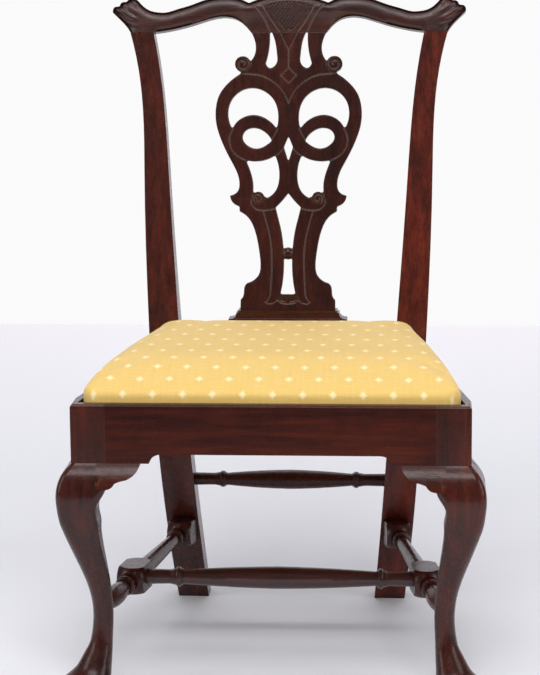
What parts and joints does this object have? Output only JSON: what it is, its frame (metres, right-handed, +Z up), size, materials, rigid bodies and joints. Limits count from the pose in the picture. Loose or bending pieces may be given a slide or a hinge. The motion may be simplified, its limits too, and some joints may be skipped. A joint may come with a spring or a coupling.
{
  "type": "side chair",
  "caption": "Carved wooden side chair with a pierced splat, eared crest, cabriole front legs, turned stretchers and a lift-out upholstered seat.",
  "frame": {"origin": "on the floor under the middle of the chair's bounding box", "axes": "+Z up, the sitter faces -Y, +X to the right of a person who looks at the chair's front"},
  "size_m": [0.5986, 0.557, 0.9543],
  "materials": {
    "mahogany": "old polish, satin to gloss",
    "secondary_wood": "plain sawn, unfinished",
    "seat_fabric": "woven silk-like cloth with a small figure",
    "webbing": "coarse woven linen tape",
    "sackcloth": "coarse plain weave",
    "stuffing": "curled hair",
    "tack_iron": "dull dark iron"
  },
  "bodies": {
    "chair_frame": {"front_leg_right": "mahogany", "front_knee_bracket_right": "mahogany", "side_knee_bracket_right": "mahogany", "side_seat_rail_right": "mahogany", "rear_leg_right": "mahogany", "side_stretcher_right": "mahogany", "front_corner_block_right": "secondary_wood", "rear_corner_block_right": "secondary_wood", "front_leg_left": "mahogany", "front_knee_bracket_left": "mahogany", "side_knee_bracket_left": "mahogany", "side_seat_rail_left": "mahogany", "rear_leg_left": "mahogany", "side_stretcher_left": "mahogany", "front_corner_block_left": "secondary_wood", "rear_corner_block_left": "secondary_wood", "front_seat_rail": "mahogany", "rear_seat_rail": "mahogany", "crest_rail": "mahogany", "back_splat": "mahogany", "splat_shoe": "mahogany", "medial_stretcher": "mahogany", "rear_stretcher": "mahogany"},
    "slip_seat": {"slip_frame_front": "secondary_wood", "slip_frame_rear": "secondary_wood", "slip_frame_right": "secondary_wood", "slip_frame_left": "secondary_wood", "seat_webbing_lengthwise": "webbing", "seat_webbing_crosswise": "webbing", "seat_sackcloth": "sackcloth", "seat_stuffing": "stuffing", "seat_cover": "seat_fabric", "cover_tacks": "tack_iron"}
  },
  "joints": [
    {"name": "seat_lift", "type": "slide", "parent": "chair_frame", "child": "slip_seat", "axis": [0, 0, 1], "range_m": [0, 0.16]}
  ]
}
